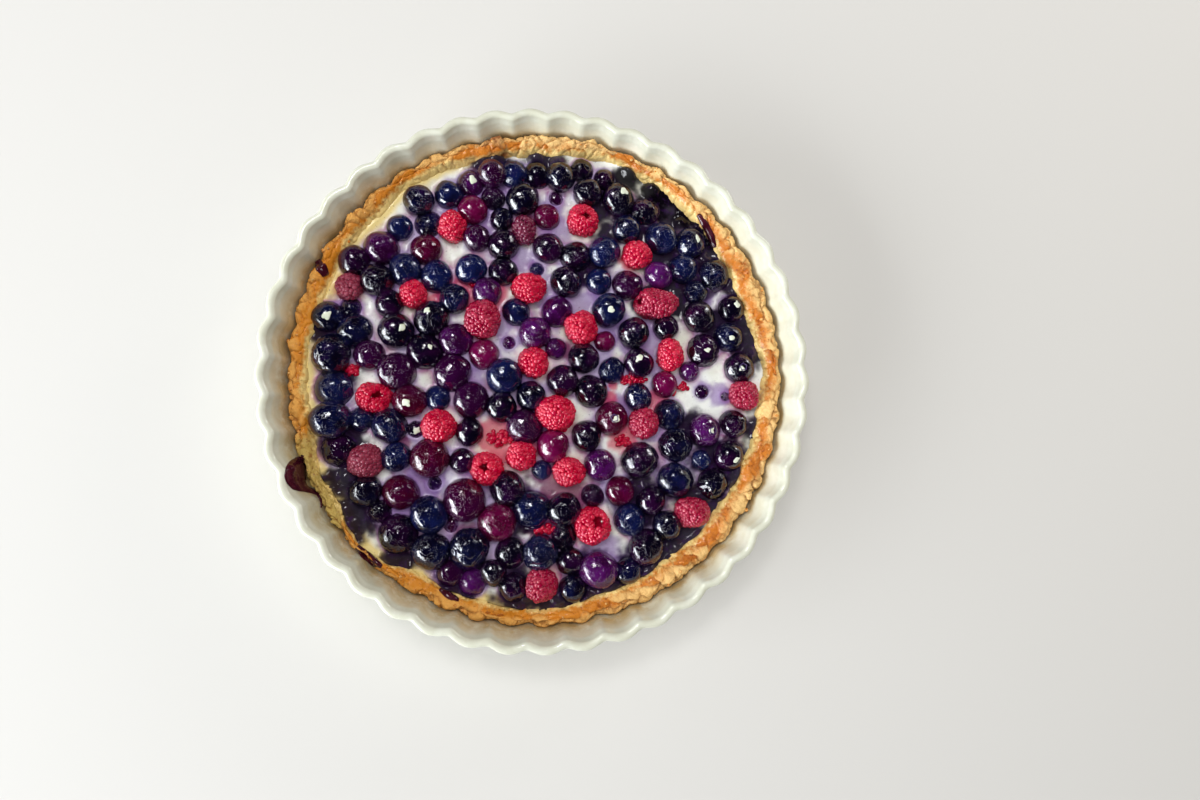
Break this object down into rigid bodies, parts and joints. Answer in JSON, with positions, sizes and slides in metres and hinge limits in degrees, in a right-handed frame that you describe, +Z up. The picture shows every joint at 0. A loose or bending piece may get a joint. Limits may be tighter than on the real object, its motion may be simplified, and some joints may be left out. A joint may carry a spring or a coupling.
{
  "type": "berry tart",
  "caption": "Round custard tart with whole blueberries and raspberries in a craggy shortcrust case, in its own fluted white ceramic dish.",
  "frame": {"origin": "centre of the dish's foot, on the surface it stands on", "axes": "+Z up; -Y towards the side nearest the viewer in the picture, +X to its right"},
  "size_m": [0.2798, 0.2795, 0.04],
  "materials": {
    "glaze": "glossy white glaze, faintly warm",
    "pastry": "baked shortcrust, matt and crumbly, golden to browned",
    "custard": "set custard, satin, stained by the fruit",
    "blueberry": "baked blueberry skin, glossy with juice",
    "raspberry": "raspberry, moist and glossy"
  },
  "bodies": {
    "root": {"dish": "glaze", "crust": "pastry", "filling": "custard", "raspberry_01": "raspberry", "raspberry_02": "raspberry", "raspberry_03": "raspberry", "raspberry_04": "raspberry", "raspberry_05": "raspberry", "raspberry_06": "raspberry", "raspberry_07": "raspberry", "raspberry_08": "raspberry", "raspberry_09": "raspberry", "raspberry_10": "raspberry", "raspberry_11": "raspberry", "raspberry_12": "raspberry", "raspberry_13": "raspberry", "raspberry_14": "raspberry", "raspberry_15": "raspberry", "raspberry_16": "raspberry", "raspberry_17": "raspberry", "raspberry_18": "raspberry", "raspberry_19": "raspberry", "raspberry_20": "raspberry", "raspberry_21": "raspberry", "raspberry_22": "raspberry", "raspberry_23": "raspberry", "raspberry_24": "raspberry"}
  },
  "joints": []
}
